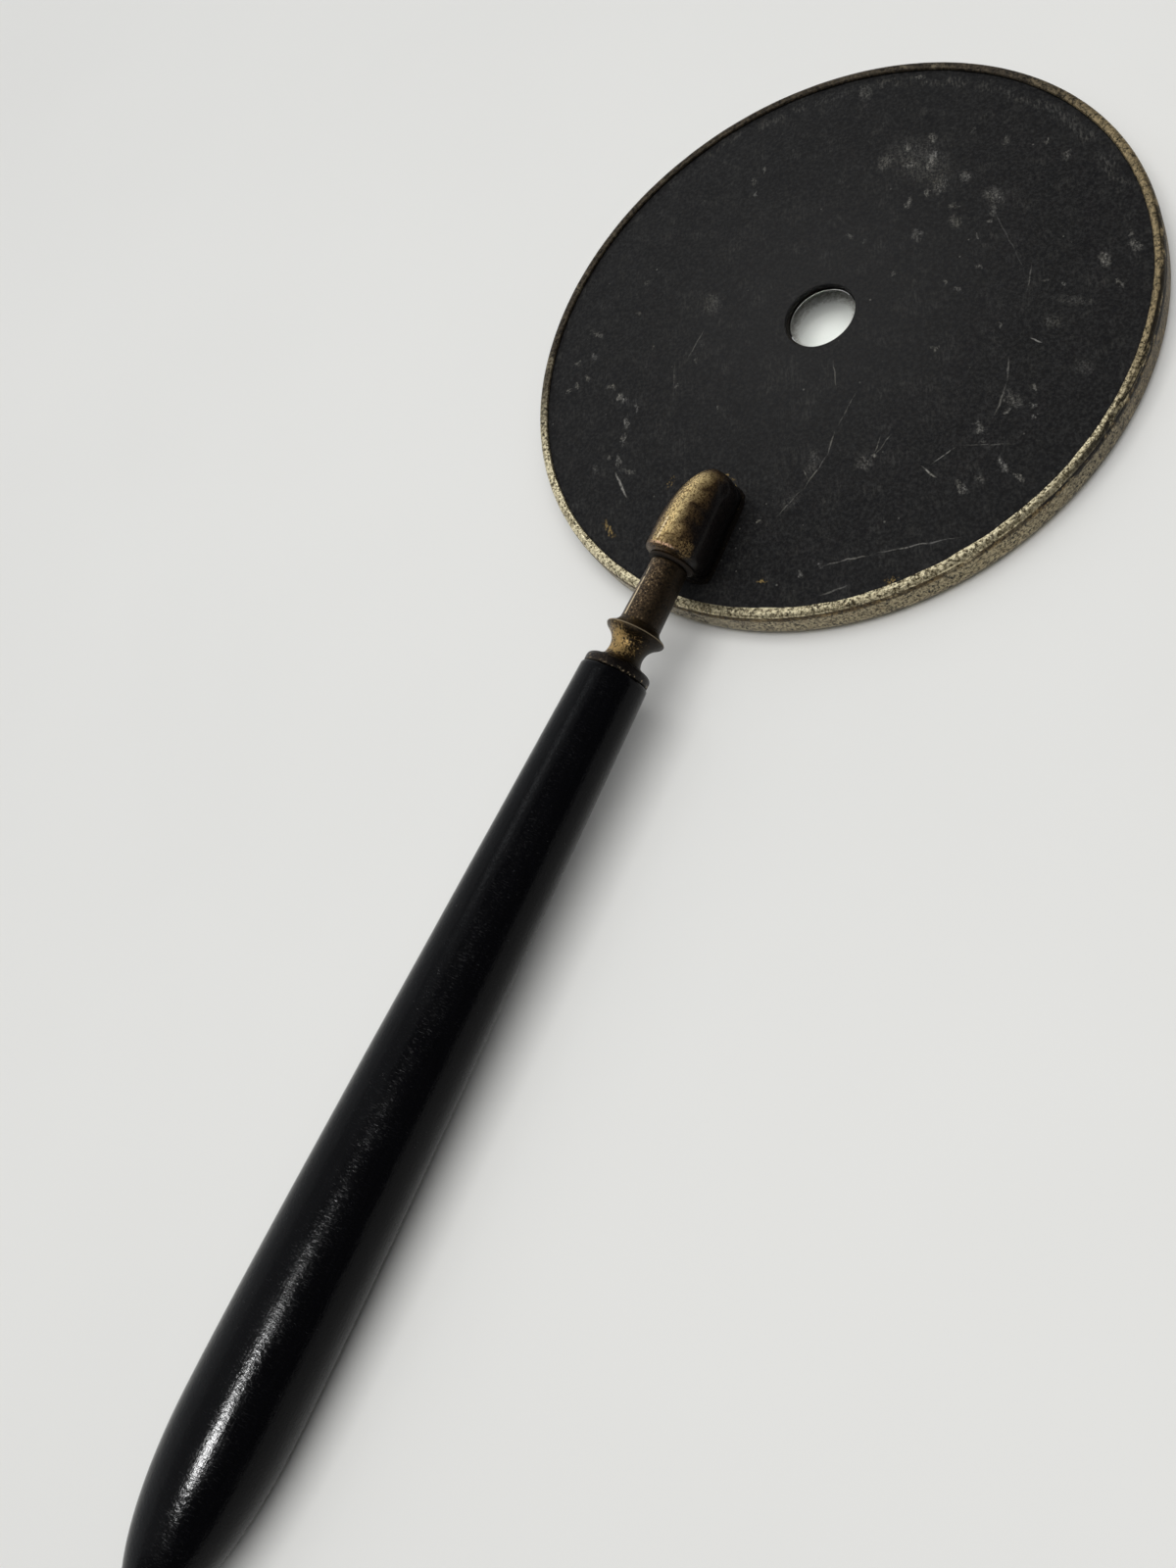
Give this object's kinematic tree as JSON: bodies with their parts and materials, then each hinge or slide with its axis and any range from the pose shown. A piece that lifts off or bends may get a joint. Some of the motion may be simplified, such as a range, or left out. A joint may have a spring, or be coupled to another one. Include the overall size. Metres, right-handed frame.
{
  "type": "hand-held concave reflecting mirror with sight hole",
  "caption": "Round silvered glass with a central sight hole in a metal bezel, black domed back plate and bullet-shaped screw socket, on a brass stem and a turned black wooden handle.",
  "frame": {"origin": "bottom centre of the bounding box, on the plane the mirror's front rim and the handle's belly rest on", "axes": "+Y from the butt of the handle towards the disc, +Z from the mirror's face to its back, +X to the right seen from behind"},
  "size_m": [0.09, 0.2338, 0.0157],
  "materials": {
    "bezel_metal": "spun metal bezel, pale worn brass with brown tarnish in its groove",
    "mirror_glass": "clear polished glass",
    "silver": "silver coating on the back of the glass",
    "black_card": "blackened packing card",
    "black_paint": "matt black lacquer, scratched and scuffed",
    "socket_brass": "blackened brass worn to metal along its upper side",
    "solder": "thin run of solder under the socket's foot",
    "washer_leather": "dark pressed leather",
    "stem_brass": "turned brass with a dark brown patina",
    "collar_brass": "turned brass, brown patina, worn bright on the flange",
    "ferrule_brass": "brown-black patina",
    "tang_steel": "plain steel rod",
    "black_wood": "ebonised hardwood with a worn satin polish"
  },
  "bodies": {
    "head": {"rim_bezel": "bezel_metal", "mirror_glass": "mirror_glass", "silver_coating": "silver", "packing_card": "black_card", "back_plate": "black_paint", "socket_boss": "socket_brass", "solder_joint": "solder"},
    "washer": {"shoulder_washer": "washer_leather"},
    "grip": {"stem": "stem_brass", "collar": "collar_brass", "ferrule": "ferrule_brass", "tang": "tang_steel", "handle": "black_wood"}
  },
  "joints": [
    {"name": "screw_advance", "type": "slide", "parent": "head", "child": "washer", "axis": [0, -0.9996, -0.0297], "range_m": [0, 0.00605]},
    {"name": "screw_turn", "type": "hinge", "parent": "washer", "child": "grip", "pos_m": [0, 0.03013, 0.01125], "axis": [0, -0.9996, -0.0297], "range_deg": [0, 2160]}
  ],
  "couplings": [
    {"joint": "screw_advance", "follows": "screw_turn", "m_per_rad": 0.00015915}
  ]
}
